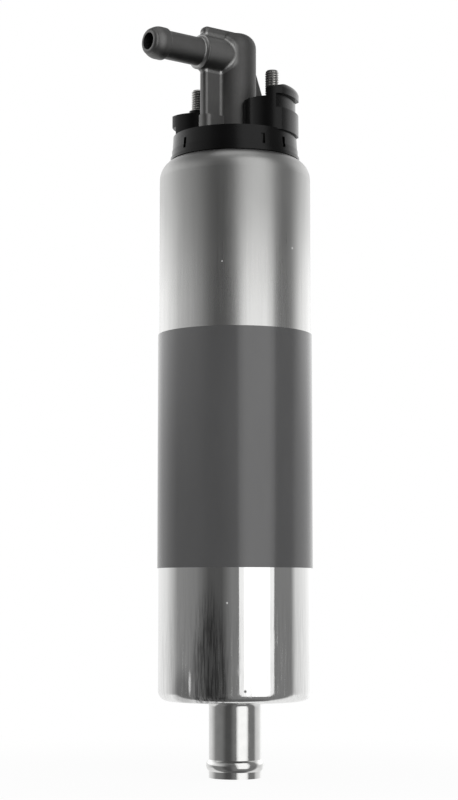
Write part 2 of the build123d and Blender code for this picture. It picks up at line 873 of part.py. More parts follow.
def end_cover():
    """The black moulded cover: skirt, shoulder, notched rim and the bosses on its top."""
    middle = body_radius - shoulder_radius
    arc = shoulder_radius - shell_wall - fit_gap
    angle = degrees(acos((rim_radius - middle) / arc))
    step_height = cap_top - rim_step
    edge_height = cap_top - rim_bevel_height
    edge_radius = rim_radius - rim_step_in - rim_draft
    notch_top = edge_height - notch_drop
    cover = turned(
        Line((0, end_base), (core_radius, end_base)),
        Line((core_radius, end_base), (core_radius, shoulder)),
        CenterArc((middle, shoulder), arc, 0, angle),
        Line((rim_radius, shoulder + arc * sin(radians(angle))), (rim_radius, step_height)),
        Line((rim_radius, step_height), (rim_radius - rim_step_in, step_height)),
        Line((rim_radius - rim_step_in, step_height), (edge_radius, edge_height)),
        Line((edge_radius, edge_height), (edge_radius - rim_bevel, cap_top)),
        Line((edge_radius - rim_bevel, cap_top), (0, cap_top)),
        Line((0, cap_top), (0, end_base)),
    )
    lip_base = shoulder + sqrt(shoulder_radius ** 2 - (lip_radius - middle) ** 2) + fit_gap
    cover += disc(rim_radius + crimp_lip, lip_base, lip_base + crimp_lip_height)
    cover -= disc(core_radius - end_skirt_wall, end_base - cut_over, shoulder)
    cover -= disc(rim_radius - rim_wall, shoulder - cut_over, cap_under)
    cover += disc(spigot_radius + socket_wall, cap_top - socket_depth, cap_under + cut_over)
    for turn in (0.0, 180.0):
        for notch in notch_angles:
            cover -= block(
                2 * notch_depth, notch_width, notch_top - notch_height, notch_top,
                notch + turn, rim_radius,
            )
    cover += plus_tower()
    cover += minus_pedestal()
    cover -= elbow_footprint()
    cover -= disc(spigot_radius + fit_gap, end_base - cut_over, cap_top + cut_over)
    for angle, rise in terminals.values():
        place = polar(stud_circle, angle)
        cover -= disc(shank_radius + fit_gap, cap_under - cut_over, cap_top + rise, place)
    return cover - seal_groove(end_seal_height())


def end_seal():
    return torus_ring(core_radius - ring_radius, ring_radius - fit_gap / 2, end_seal_height())


def along_nozzle(shape):
    """Turn a shape built up the Z axis from the origin to run out along the nozzle."""
    return Pos(0, 0, nozzle_height) * Rot(0, -90, 0) * shape


def nozzle_outside():
    """The boss, the tube and the barbed tip, turned about the nozzle's own axis."""
    flare_end = nozzle_boss_reach + nozzle_flare
    barb_top = barb_start + barb_shoulder
    taper_start = barb_top + barb_land
    tip_start = nozzle_reach - tip_round
    return turned(
        Line((0, 0), (nozzle_boss, 0)),
        Line((nozzle_boss, 0), (nozzle_boss, nozzle_boss_reach)),
        SagittaArc((nozzle_boss, nozzle_boss_reach), (nozzle_radius, flare_end), flare_bow),
        Line((nozzle_radius, flare_end), (nozzle_radius, barb_start)),
        SagittaArc((nozzle_radius, barb_start), (barb_radius, barb_top), -shoulder_bow),
        Line((barb_radius, barb_top), (barb_radius, taper_start)),
        SagittaArc((barb_radius, taper_start), (nozzle_tip + tip_round, tip_start), -taper_bow),
        SagittaArc((nozzle_tip + tip_round, tip_start), (nozzle_tip, nozzle_reach), -tip_bow),
        Line((nozzle_tip, nozzle_reach), (0, nozzle_reach)),
        Line((0, nozzle_reach), (0, 0)),
    )


def back_rib():
    """The thin rib behind the column."""
    top = cap_top + rib_top_rise
    outline = Polyline(
        (0, cap_top), (rib_foot, cap_top), (rib_knee, cap_top + rib_knee_rise),
        (column_radius - rib_tuck, top), (0, top), close=True,
    )
    return extrude(Plane.XZ * make_face(outline), rib_thickness / 2, both=True)


def samples(edge):
    """Points at an edge's start, middle and end."""
    return [edge @ share for share in (0.0, 0.5, 1.0)]


def column_and_web():
    """The round column and the thin web in front of it, which runs on over the column's top."""
    column_top = elbow_top - column_drop
    column = disc(column_radius, cap_top, column_top)
    column = fillet(column.edges().group_by(Axis.Z)[-1], column_roof)
    length = web_reach + web_back
    web = Pos(length / 2 - web_reach, 0, cap_top) * Box(length, web_thickness, elbow_rise, align=ABOVE)
    for end, size in ((0, web_corner), (-1, web_fall)):
        web = fillet(web.edges().filter_by(Axis.Y).group_by(Axis.Z)[-1].sort_by(Axis.X)[end], size)
    outer = [edge for edge in web.edges()
             if (edge @ 0.5).Z > cap_top + fit_gap and (edge @ 0.5).X < web_back - fit_gap
             and all(abs(abs(point.Y) - web_thickness / 2) < 0.01 for point in samples(edge))]
    return column + fillet(outer, web_edge) + column_and_web_plan(0.0, column_top - column_roof)


def beside_rib(edge):
    """Whether an upright edge lies where the rib meets the column."""
    middle = edge @ 0.5
    return 0 < middle.X < column_radius and abs(abs(middle.Y) - rib_thickness / 2) < 0.01


def on_boss_root(edge):
    """Whether an edge lies where the nozzle's boss leaves the column and the web."""
    points = samples(edge)
    on_wall = all(
        abs(hypot(point.Y, point.Z - nozzle_height) - nozzle_boss) < 0.01
        and point.X > cut_over / 2 - nozzle_boss_reach
        for point in points
    )
    seam = edge.geom_type == GeomType.LINE and abs(points[1].Y) < 0.01
    return on_wall and not seam


def outlet_elbow():
    """The cast elbow: spigot, column, web, nozzle and rib, bored through."""
    body = column_and_web() + back_rib()
    body = fillet([edge for edge in body.edges().filter_by(Axis.Z) if beside_rib(edge)], rib_root)
    body += along_nozzle(nozzle_outside())
    body = fillet([edge for edge in body.edges() if on_boss_root(edge)], boss_root)
    body += foot_pad(0.0, cap_top + pad_height)
    body += disc(spigot_radius, spigot_base, cap_top)
    body += disc(spigot_radius + collar_out, spigot_base, spigot_base + collar_thickness)
    ring_height = cap_top - elbow_ring_depth
    body -= ring(
        spigot_radius + cut_over, spigot_radius - 2 * elbow_ring,
        ring_height - elbow_ring, ring_height + elbow_ring,
    )
    body -= disc(valve_bore, spigot_base - cut_over, valve_step)
    body -= disc(nozzle_bore, valve_step - cut_over, nozzle_height)
    body -= Pos(0, 0, nozzle_height) * Sphere(nozzle_bore)
    return body - along_nozzle(disc(nozzle_bore, 0, nozzle_reach + cut_over))


def elbow_seal():
    return torus_ring(spigot_radius - elbow_ring, elbow_ring - fit_gap / 2, cap_top - elbow_ring_depth)


def check_valve_seat():
    """The pressed-in ring that the poppet closes on."""
    seat = ring(valve_bore - fit_gap, valve_port, spigot_base, valve_seat_top)
    mouth = Pos(0, 0, valve_seat_top - poppet_nose - fit_gap) * Cone(
        valve_port, valve_port + poppet_nose + 2 * fit_gap, poppet_nose + fit_gap, align=ABOVE
    )
    return seat - mouth


def check_valve_poppet():
    """The poppet: a flat head with a short cone below and a stem above."""
    nose = valve_port + poppet_nose
    return turned_points(
        (0, poppet_base - poppet_nose), (valve_port, poppet_base - poppet_nose), (nose, poppet_base),
        (poppet_radius, poppet_base), (poppet_radius, poppet_top), (stem_radius, poppet_top),
        (stem_radius, poppet_top + stem_height), (0, poppet_top + stem_height),
    )


def check_valve_spring():
    return coil_spring(valve_coil, valve_wire, poppet_top, valve_step, valve_turns)


nodes = {
    "shell": shell,
    "body_sleeve": body_sleeve,
    "inlet_cover": inlet_cover,
    "inlet_seal": inlet_seal,
    "inlet_strainer": inlet_strainer,
    "pump_inlet_plate": pump_inlet_plate,
    "gear_housing": gear_housing,
    "inner_rotor": inner_rotor,
    "outer_rotor": outer_rotor,
    "pump_outlet_plate": pump_outlet_plate,
    "pump_screws": pump_screws,
    "relief_ball": relief_ball,
    "relief_plug": relief_plug,
    "relief_spring": relief_spring,
    "lower_bush": lower_bush,
    "armature_shaft": armature_shaft,
    "drive_coupling": drive_coupling,
    "thrust_washer": thrust_washer,
    "lamination_stack": lamination_stack,
    "armature_windings": armature_windings,
    "commutator_hub": commutator_hub,
    "commutator": commutator,
    "flux_tube": flux_tube,
    "magnet_clips": magnet_clips,
    "brush_holder": brush_holder,
    "upper_bush": upper_bush,
    "stud_seals": stud_seals,
    "end_cover": end_cover,
    "end_seal": end_seal,
    "outlet_elbow": outlet_elbow,
    "elbow_seal": elbow_seal,
    "check_valve_seat": check_valve_seat,
    "check_valve_poppet": check_valve_poppet,
    "check_valve_spring": check_valve_spring,
}


def main():
    shapes = {name: build() for name, build in nodes.items()}
    for side, name in enumerate(("first", "second")):
        shapes[f"magnet_{name}"] = magnet(side)
    for name, (angle, rise) in terminals.items():
        shapes[f"brush_{name}"] = brush(angle)
        shapes[f"brush_spring_{name}"] = brush_spring(angle)
        shapes[f"contact_plate_{name}"] = contact_plate(angle)
        shapes[f"choke_{name}"] = suppression_choke(angle)
        shapes[f"terminal_stud_{name}"] = terminal_stud(angle, rise)
    os.makedirs("parts", exist_ok=True)
    for name, shape in shapes.items():
        solid = Compound(children=shape) if isinstance(shape, list) else shape
        export_step(solid, f"parts/{name}.step")


main()
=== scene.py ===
# %% [markdown]
# # An in-line fuel pump, finished around its CAD frame
#
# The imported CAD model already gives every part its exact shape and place, in metres. What is
# left is how it looks: drawn steel, a dark plastic sleeve, a black moulded cover, a cast
# elbow, and the wire, carbon and copper inside. This lesson adds that, one cell at a time.
# Nothing of the CAD model is moved. A part keeps its CAD mesh and gets a better material, or
# it is hidden and a more detailed mesh stands in the same place.

import json
import math

import bmesh
import bpy
import numpy as np
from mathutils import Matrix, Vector


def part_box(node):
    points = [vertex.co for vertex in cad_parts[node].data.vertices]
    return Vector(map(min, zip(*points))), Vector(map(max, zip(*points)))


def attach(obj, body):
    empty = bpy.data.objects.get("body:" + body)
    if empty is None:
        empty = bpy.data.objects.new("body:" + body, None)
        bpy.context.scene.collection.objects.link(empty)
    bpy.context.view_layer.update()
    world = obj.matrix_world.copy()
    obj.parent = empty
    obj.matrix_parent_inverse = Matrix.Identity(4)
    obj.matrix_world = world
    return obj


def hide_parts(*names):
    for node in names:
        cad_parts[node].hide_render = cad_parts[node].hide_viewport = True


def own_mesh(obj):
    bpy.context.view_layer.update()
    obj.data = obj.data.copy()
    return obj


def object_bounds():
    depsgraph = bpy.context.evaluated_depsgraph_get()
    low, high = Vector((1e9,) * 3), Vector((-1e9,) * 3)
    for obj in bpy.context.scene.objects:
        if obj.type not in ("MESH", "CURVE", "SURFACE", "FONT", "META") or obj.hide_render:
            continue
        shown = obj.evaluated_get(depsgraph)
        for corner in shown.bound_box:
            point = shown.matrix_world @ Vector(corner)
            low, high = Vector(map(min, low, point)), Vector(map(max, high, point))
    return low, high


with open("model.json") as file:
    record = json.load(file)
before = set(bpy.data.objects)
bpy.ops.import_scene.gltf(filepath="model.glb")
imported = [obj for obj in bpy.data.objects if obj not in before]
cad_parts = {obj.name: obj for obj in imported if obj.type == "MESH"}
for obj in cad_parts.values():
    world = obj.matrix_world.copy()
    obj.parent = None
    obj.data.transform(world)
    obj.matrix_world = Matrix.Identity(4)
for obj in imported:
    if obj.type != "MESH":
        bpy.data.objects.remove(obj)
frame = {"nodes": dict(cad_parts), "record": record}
nodes = frame["nodes"]
cad_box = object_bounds()
box_size = [round(1000 * (high - low), 1) for low, high in zip(*cad_box)]
print("CAD parts:", len(nodes), "- box in mm:", box_size)

# %% [markdown]
# ## Shader maths that reads like sums
#
# A material in Blender is a net of nodes. Wired by hand in Python it is long and hard to
# read, so one small class wraps an output socket. Sums on it add Math nodes, and every other
# node comes from its one `node` method: the settings first, then the sockets by name.

# %% A socket that takes Python's operators
class Flow:
    """What flows out of a shader node. Operators on it add Math nodes to the same tree."""

    def __init__(self, tree, socket=None):
        self.tree, self.socket = tree, socket

    def node(self, kind, settings=None, *ordered, out=None, **named):
        """Adds a node. Its sockets are filled in their order, or by name in small letters."""
        made = self.tree.nodes.new("ShaderNode" + kind)
        for name, value in (settings or {}).items():
            if name == "stops":
                fill_ramp(made.color_ramp, value)
            else:
                setattr(made, name, value)
        sockets = [s for s in made.inputs if s.enabled]
        wanted = list(zip(sockets, ordered))
        by_name = {s.name.lower(): s for s in reversed(sockets)}
        wanted += [(by_name[name.replace("_", " ")], value) for name, value in named.items()]
        for socket, value in wanted:
            if isinstance(value, Flow):
                self.tree.links.new(value.socket, socket)
            elif socket.type == "RGBA":
                socket.default_value = colour(value)
            else:
                socket.default_value = value
        outputs = [s for s in made.outputs if s.enabled]
        return Flow(self.tree, next((s for s in outputs if s.name == out), outputs[0]))

    def sum(self, operation, *values):
        """Adds a Math node. Its values are numbers or sockets."""
        return self.node("Math", {"operation": operation}, *values)

    def __add__(self, other):
        return self.sum("ADD", self, other)

    def __sub__(self, other):
        return self.sum("SUBTRACT", self, other)

    def __rsub__(self, other):
        return self.sum("SUBTRACT", other, self)

    def __mul__(self, other):
        return self.sum("MULTIPLY", self, other)

    def __truediv__(self, other):
        return self.sum("DIVIDE", self, other)

    def __abs__(self):
        return self.sum("ABSOLUTE", self)

    __radd__, __rmul__ = __add__, __mul__


def colour(shade):
    """A grey level or three numbers as the four that a colour socket takes."""
    return (shade,) * 3 + (1.0,) if isinstance(shade, (int, float)) else tuple(shade) + (1.0,)


def fill_ramp(ramp, stops):
    """Gives a colour ramp its stops, which are pairs of place and shade."""
    ramp.elements.remove(ramp.elements[1])
    ramp.elements[0].position, ramp.elements[0].color = stops[0][0], colour(stops[0][1])
    for place, shade in stops[1:]:
        ramp.elements.new(place).color = colour(shade)


print("mid grey as a colour:", colour(0.5))

# %% [markdown]
# ## Words for patterns
#
# Every piece's own coordinates are the CAD frame's, so a pattern can be written in real
# millimetres: a noise of scale 2 has two features to each millimetre. These few helpers are
# the words that all the finishes are written in. `band` is a soft step from 0 to 1, `mix`
# blends two colours or greys, and `spot` is a small round mark at a place on the surface.

# %% Pattern helpers
def millimetres(start):
    """The surface point in the CAD frame, in millimetres."""
    place = start.node("TexCoord", out="Object")
    return start.node("VectorMath", {"operation": "SCALE"}, place, scale=1000.0)


def stretched(place, x, y, z):
    """The point with each axis scaled, so that a noise on it is longer along one of them."""
    return place.node("VectorMath", {"operation": "MULTIPLY"}, place, (x, y, z))


def noise(place, scale, detail=3.0, roughness=0.5):
    """Cloudy grey from 0 to 1, with so many features to each millimetre."""
    sockets = {"scale": scale, "detail": detail, "roughness": roughness}
    return place.node("TexNoise", None, vector=place, **sockets)


def part_of(place, axis):
    """The x, y or z of a point."""
    return place.node("SeparateXYZ", None, place, out=axis)


def away_from(place, other):
    """How far one point is from another."""
    return place.node("VectorMath", {"operation": "DISTANCE"}, place, other)


def band(value, low, high):
    """0 below low, 1 above high, and a smooth rise between them. High may be the lower one."""
    settings = {"interpolation_type": "SMOOTHSTEP"}
    if low < high:
        return value.node("MapRange", settings, value, low, high, 0.0, 1.0)
    return value.node("MapRange", settings, value, high, low, 1.0, 0.0)


def mix(factor, first, second):
    """Colours blended by a factor."""
    return factor.node("Mix", {"data_type": "RGBA"}, factor=factor, a=first, b=second)


def spot(place, centre, radius, edge=0.3):
    """1 in a small round mark about a point, in millimetres."""
    return band(away_from(place, centre), radius, radius * edge)


def bump(height, depth, strength=1.0):
    """A surface roughened by a height of 0 to 1, as deep as depth in millimetres."""
    return height.node("Bump", None, strength=strength, distance=depth / 1000.0, height=height)


def surface(start, **sockets):
    """The shader that every finish ends in."""
    return start.node("BsdfPrincipled", None, **sockets)


# %% From a shader to a material
def fill_tree(owner, kind, shader):
    """Gives a material or a world the surface that shader returns from the start of its tree."""
    owner.use_nodes = True
    tree = owner.node_tree
    tree.nodes.clear()
    output = tree.nodes.new("ShaderNodeOutput" + kind)
    tree.links.new(shader(Flow(tree)).socket, output.inputs["Surface"])
    print(kind.lower() + ":", owner.name, "with", len(tree.nodes), "nodes")
    return owner


def make_finish(name, shader):
    """A material with the surface that shader returns."""
    return fill_tree(bpy.data.materials.new(name), "Material", shader)


# %% [markdown]
# ## The camera
#
# The picture was taken from in front and to the left, with the lens a little above the foot
# of the pump and tilted up, so that the cover's top face is hidden and the elbow is seen from
# below. The place and the lens come from fitting the edges of the CAD model to the edges in
# the picture.

# %% Camera
view_direction = Vector((0.6125, 0.7840, 0.1012)).normalized()
camera = bpy.data.objects.new("camera", bpy.data.cameras.new("camera"))
camera.location = (-0.3334, -0.4240, 0.0504)
camera.rotation_mode = "QUATERNION"
camera.rotation_quaternion = view_direction.to_track_quat("-Z", "Y")
camera.data.sensor_width = 36.0
camera.data.lens = 86.17
camera.data.clip_start = 0.01
bpy.context.scene.collection.objects.link(camera)
bpy.context.scene.camera = camera
print("camera tilt in degrees:", round(math.degrees(math.asin(view_direction.z)), 2))

# %% [markdown]
# ## The studio
#
# Polished metal has almost no look of its own: it shows the room. The bands down the steel
# are a tall soft box in front on the right, a white backdrop behind and to both sides, and
# the dark room between them. The soft box is a real area lamp. The rest is written into the
# world, as a tone for each direction round the pump that only reflections see. What the
# camera sees behind the pump is plain white, and what lights dull surfaces is an even fill.

# %% Directions round the pump
view_angle = math.degrees(math.atan2(-view_direction.y, -view_direction.x))
soft_box_angle = 32.6


def studio_point(turn, distance, height):
    """A place round the pump. Turn is in degrees, to the right of the camera."""
    angle = math.radians(view_angle + turn)
    return Vector((distance * math.cos(angle), distance * math.sin(angle), height))


print("camera stands at", round(view_angle, 1), "degrees round the pump")

# %% The soft box and a weak lamp on the left
lamp_target = Vector((0, 0, 0.11))  # about half way up the pump


def area_lamp(name, turn, distance, height, width, tall, radiance, glossy):
    """A lamp that faces the pump. Its power follows from its size and how bright it looks."""
    lamp = bpy.data.lights.new(name, "AREA")
    lamp.shape, lamp.size, lamp.size_y = "RECTANGLE", width, tall
    lamp.energy = radiance * math.pi * width * tall
    holder = bpy.data.objects.new(name, lamp)
    holder.location = studio_point(turn, distance, height)
    holder.rotation_mode = "QUATERNION"
    holder.rotation_quaternion = (lamp_target - holder.location).to_track_quat("-Z", "Y")
    holder.visible_camera = False
    holder.visible_glossy = glossy
    bpy.context.scene.collection.objects.link(holder)
    print(name, "power in watts:", round(lamp.energy, 2))


# The soft box is brighter in the middle, so a second lamp stands just before it.
soft_box_place = {"turn": soft_box_angle, "height": 0.35, "tall": 2.2, "glossy": True}
area_lamp("soft_box", distance=1.0, width=1.09, radiance=0.80, **soft_box_place)
area_lamp("soft_box_core", distance=0.98, width=0.76, radiance=0.36, **soft_box_place)
area_lamp(
    "left_fill", turn=-75.0, distance=1.1, height=0.4, width=0.9, tall=1.4, radiance=0.5,
    glossy=False,
)

# %% Tones round the room
# Each pair is a turn in degrees, as for the lamps, and the tone of the wall there.
low_tones = [
    (-180, 0.90), (-150, 0.95), (-125, 0.85), (-103, 0.45), (-96, 0.28), (-60, 0.22), (-40, 0.09),
    (-20, 0.09), (-5, 0.22), (92, 0.22), (102, 0.74), (130, 0.97), (155, 1.25), (180, 0.95),
]
high_tones = [
    (-180, 1.00), (-150, 1.60), (-125, 1.60), (-108, 1.42), (-97, 1.10), (-84, 0.90), (-61, 0.62),
    (-50, 0.45), (-40, 0.24), (-28, 0.12), (-18, 0.12), (-8, 0.18), (62, 0.22), (96, 0.27),
    (108, 0.95), (118, 1.50), (150, 1.70), (180, 1.00),
]
print("tones round the room:", len(low_tones), "low and", len(high_tones), "high")


def wall(start, tones, turn):
    """The tone of a wall by its share of a full turn, which starts behind the pump."""
    stops = [((degrees + 180) / 360, shade) for degrees, shade in tones]
    return start.node("ValToRGB", {"stops": stops}, turn)


def facing(start, direction, way):
    """1 where a direction goes straight along a way, and -1 where it goes back."""
    return start.node("VectorMath", {"operation": "DOT_PRODUCT"}, direction, way[:])


def studio_room(start):
    """The tone that a reflection meets in each direction."""
    direction = start.node("TexCoord", out="Generated")
    angle = math.radians(view_angle)
    ahead = Vector((math.cos(angle), math.sin(angle), 0))
    right = Vector((-ahead.y, ahead.x, 0))
    to_right, to_camera = facing(start, direction, right), facing(start, direction, ahead)
    turn = start.sum("ARCTAN2", to_right, to_camera) / (2 * math.pi) + 0.5
    # Rise is -1 straight down, 0 at the horizon and 1 straight up. The walls have one set of
    # tones up to just above the horizon and another above that.
    rise = part_of(direction, "Z")
    walls = mix(band(rise, 0.05, 0.16), wall(start, low_tones, turn), wall(start, high_tones, turn))
    # The ceiling is dim, with a bright patch straight overhead. Straight down it is dark.
    overhead = mix(band(rise, 0.88, 0.97), 0.24, 0.85)
    ceiling = mix(band(rise, 0.35, 0.85), walls, overhead)
    underneath = mix(band(rise, -0.82, -0.92), ceiling, 0.13)
    # Low down behind the pump is the white table.
    table = band(to_camera, -0.08, -0.28) * band(rise, -0.20, -0.34)
    return mix(table, underneath, 0.95)


# %% The world
def studio_world(start):
    """White to the camera, the room to reflections, and an even fill to everything else."""
    fill = start.node("Background", None, color=1.0, strength=0.55)
    room = start.node("Background", None, color=studio_room(start), strength=1.0)
    white = start.node("Background", None, color=1.0, strength=1.0)
    lit = start.node("MixShader", None, start.node("LightPath", out="Is Glossy Ray"), fill, room)
    return start.node("MixShader", None, start.node("LightPath", out="Is Camera Ray"), lit, white)


bpy.context.scene.world = fill_tree(bpy.data.worlds.new("studio"), "World", studio_world)
bpy.context.scene.view_settings.view_transform = "Standard"

# %% Floor
def floor_paint(start):
    """White to the camera, with a little of the real shadow left in it near the pump."""
    seen = start.node("LightPath", out="Is Camera Ray")
    paint = start.node("BsdfDiffuse", None, color=0.9)
    white = start.node("Emission", None, color=1.0, strength=1.0)
    # The shadow fades out between 40 and 170 mm from the pump's axis.
    flat = stretched(millimetres(start), 1.0, 1.0, 0.0)
    far = band(away_from(flat, (0.0, 0.0, 0.0)), 40.0, 170.0)
    return start.node("MixShader", None, seen * (0.94 + far * 0.06), paint, white)


reach, floor_gap = 6.0, 0.0001
floor_corners = [(-reach, -reach, 0), (reach, -reach, 0), (reach, reach, 0), (-reach, reach, 0)]
floor_mesh = bpy.data.meshes.new("floor")
floor_mesh.from_pydata(floor_corners, [], [(0, 1, 2, 3)])
floor = bpy.data.objects.new("floor", floor_mesh)
floor.location.z = cad_box[0].z - floor_gap
floor.data.materials.append(make_finish("pale_floor", floor_paint))
floor.visible_glossy = False
bpy.context.scene.collection.objects.link(floor)

# %% [markdown]
# ## The steel body
#
# The tube is drawn steel with a thin bright plating. Drawing leaves fine lines along it,
# which spread a reflection sideways. Above the sleeve it is satin, from handling and
# cleaning. Below it the plating is still bright, with a few scratches where a clamp has slid.
# One material does both, because it is one tube: the roughness changes with the height.

# %% Marks in the steel
# A mark is a place and a radius in millimetres, and how far its height is squeezed: a mark
# that is squeezed to an eighth is eight times as tall as it is wide.
pit, pit_radius = (-11.0, -18.4, 24.6), 0.55
nicks = [
    ((3.6, -21.2, 146.2), 0.42, 1.0), ((-15.9, -14.5, 141.4), 0.28, 1.0),
    ((-14.9, -15.5, 48.2), 0.35, 1.0), ((-20.55, -6.3, 26.5), 0.55, 0.12),
]


def tall_spot(place, centre, radius, squeeze, edge=0.3):
    """A spot that is longer along the tube than round it."""
    x, y, z = centre
    return spot(stretched(place, 1.0, 1.0, squeeze), (x, y, z * squeeze), radius, edge)


def along_tube(place, squeeze, scale, detail=3.0, roughness=0.5):
    """A noise whose features are drawn out along the tube."""
    return noise(stretched(place, 1.0, 1.0, squeeze), scale, detail, roughness)


print("marks in the tube:", len(nicks), "nicks and a pit")

# %% Drawn steel
sleeve_low, sleeve_high = (1000 * corner.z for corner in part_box("body_sleeve"))
print("sleeve from", round(sleeve_low, 1), "to", round(sleeve_high, 1), "mm")


def drawn_steel(start):
    """Satin above the sleeve, duller near the top. Bright and worn below it, dull at the foot."""
    place = millimetres(start)
    height = part_of(place, "Z")
    lines = along_tube(place, squeeze=0.015, scale=3.2, detail=4.0, roughness=0.6)
    satin = band(height, sleeve_low, sleeve_high)
    upper = band(height, 120.0, 168.0)
    foot = band(height, 27.0, 22.5)
    worn = (1.0 - satin) * band(height, 60.0, 36.0)
    # Roughness: the drawn lines, cloudy patches on the satin and scratches near the foot.
    clouds = along_tube(place, squeeze=0.45, scale=0.16)
    scratch = band(along_tube(place, squeeze=0.03, scale=1.5, detail=2.0), 0.58, 0.66)
    fine_scratch = band(along_tube(place, squeeze=0.05, scale=4.5, roughness=0.6), 0.56, 0.64)
    rough = 0.045 + satin * 0.20 + upper * 0.11 + foot * 0.065
    rough = rough + (lines - 0.5) * (0.04 + satin * 0.12) + (clouds - 0.5) * 0.10 * satin
    rough = rough + worn * (scratch + fine_scratch * 0.5) * 0.18
    # Shade: bright plating, dark streaks and two darker patches at the foot, then the satin over
    # it.
    streaks = along_tube(place, squeeze=0.06, scale=1.7, detail=4.0, roughness=0.65)
    smudge = band(streaks, 0.38, 0.64)
    dark_patch = tall_spot(place, (-18.0, -11.7, 24.0), radius=6.6, squeeze=0.2, edge=0.5)
    dark_patch = dark_patch * (0.30 + smudge * 0.52)
    left_dark_patch = tall_spot(place, (-21.2, -3.85, 23.0), radius=5.0, squeeze=0.5) * 0.42
    shade = mix(lines, (0.78, 0.78, 0.775), (0.88, 0.88, 0.87))
    shade = mix(worn * smudge * 0.22, shade, 0.45)
    shade = mix(start.sum("MAXIMUM", dark_patch, left_dark_patch), shade, 0.10)
    wide_streaks = along_tube(place, squeeze=0.02, scale=0.7)
    satin_shade = mix(wide_streaks, (0.51, 0.51, 0.505), (0.62, 0.62, 0.61))
    shade = mix(upper, mix(satin, shade, satin_shade), (0.36, 0.36, 0.355))
    # Small marks: a dark pit, and nicks that scatter light as bare broken metal does.
    dark, nick = spot(place, pit, pit_radius), 0.0
    for mark in nicks:
        nick = tall_spot(place, *mark) + nick
    return surface(
        start, base_color=mix(dark * 0.85, mix(nick, shade, 0.80), 0.06),
        metallic=1.0 - nick * 0.7, roughness=rough + (dark + nick) * 0.3,
        normal=bump(lines, 0.0025, 0.35),
    )


finishes = {"drawn_steel": make_finish("drawn_steel", drawn_steel)}

# %% [markdown]
# ## The sleeve
#
# Round the middle is a thin, dark grey plastic sleeve that keeps the clamp from the bare
# metal. It is smooth and a little glossy, so the soft box still shows on it as a pale band.

# %% Sleeve film
def sleeve_film(start):
    """Smooth dark grey plastic with faint clouds in it."""
    place = millimetres(start)
    grain = noise(place, 5.0)
    clouds = along_tube(place, squeeze=0.3, scale=0.12, detail=2.0)
    shade = mix(clouds, (0.074, 0.074, 0.075), (0.092, 0.092, 0.093))
    return surface(
        start, base_color=shade, roughness=0.13 + grain * 0.06, specular_ior_level=0.8,
        normal=bump(grain, 0.004, 0.2),
    )


finishes["sleeve_film"] = make_finish("sleeve_film", sleeve_film)

# %% [markdown]
# ## Metals, mouldings and the rest
#
# The other finishes follow the same way: a colour, a roughness that varies as the real
# surface does, and a shallow bump at the real scale of the grain.

# %% Plain finishes
def metal(shade, rough, grain_scale=3.0, grain_depth=0.01, spread=0.08):
    """A metal whose grain and polish vary."""
    def shader(start):
        place = millimetres(start)
        grain = noise(place, grain_scale, 4.0)
        clouds = noise(place, 0.4, 2.0)
        tone = mix(clouds, [0.88 * s for s in shade], [min(1.0, 1.08 * s) for s in shade])
        return surface(
            start, base_color=tone, metallic=1.0,
            roughness=rough + (grain - 0.5) * spread + (clouds - 0.5) * spread,
            normal=bump(grain, grain_depth, 0.5),
        )
    return shader


def dull(shade, rough, grain_scale=3.0, grain_depth=0.02, spread=0.1, shine=0.5):
    """A plastic, rubber, carbon or ceramic whose grain varies."""
    def shader(start):
        place = millimetres(start)
        grain = noise(place, grain_scale, 4.0)
        clouds = noise(place, 0.3, 2.0)
        tone = mix(clouds, [0.85 * s for s in shade], [min(1.0, 1.12 * s) for s in shade])
        return surface(
            start, base_color=tone, roughness=rough + (grain - 0.5) * spread,
            specular_ior_level=shine, normal=bump(grain, grain_depth, 0.5),
        )
    return shader


plain = {
    "bright_plate": metal(
        (0.70, 0.70, 0.69), 0.14, grain_scale=4.0, grain_depth=0.003, spread=0.06,
    ),
    "ground_steel": metal((0.60, 0.60, 0.59), 0.22),
    "spring_steel": metal((0.50, 0.50, 0.50), 0.25),
    "sintered_iron": metal((0.40, 0.39, 0.38), 0.45, grain_scale=6.0, grain_depth=0.02),
    "sintered_bronze": metal((0.62, 0.40, 0.18), 0.42, grain_scale=6.0, grain_depth=0.02),
    "brass": metal((0.78, 0.60, 0.27), 0.22),
    "copper": metal((0.85, 0.47, 0.33), 0.25),
    "enamelled_copper": metal((0.62, 0.25, 0.10), 0.3, grain_depth=0.004),
    "stage_plate": metal((0.52, 0.52, 0.51), 0.33),
    "black_nylon": dull((0.002, 0.002, 0.0021), 0.24, grain_scale=2.5, shine=0.22),
    "brown_resin": dull((0.16, 0.10, 0.06), 0.42),
    "seal_rubber": dull((0.03, 0.03, 0.03), 0.55, grain_scale=4.0),
    "ferrite": dull((0.07, 0.07, 0.075), 0.6),
    "carbon": dull((0.035, 0.034, 0.034), 0.5, grain_scale=6.0),
    "holder_nylon": dull((0.05, 0.05, 0.05), 0.42),
}
print("plain finishes:", len(plain))

# %% Stacked iron
sheet = 0.5


def stacked_iron(start):
    """Sheets of iron half a millimetre thick, pressed together: a fine dark line at each."""
    place = millimetres(start)
    grain = noise(place, 3.0, 4.0)
    share = start.sum("FRACT", part_of(place, "Z") / sheet)
    line = band(abs(share - 0.5), 0.36, 0.48)
    shade = mix(line, (0.34, 0.335, 0.33), (0.10, 0.10, 0.10))
    return surface(
        start, base_color=shade, metallic=1.0, roughness=0.40 + (grain - 0.5) * 0.15 + line * 0.2,
        normal=bump(1.0 - line, 0.04, 0.6),
    )


print("sheets of iron to each centimetre:", round(10 / sheet))

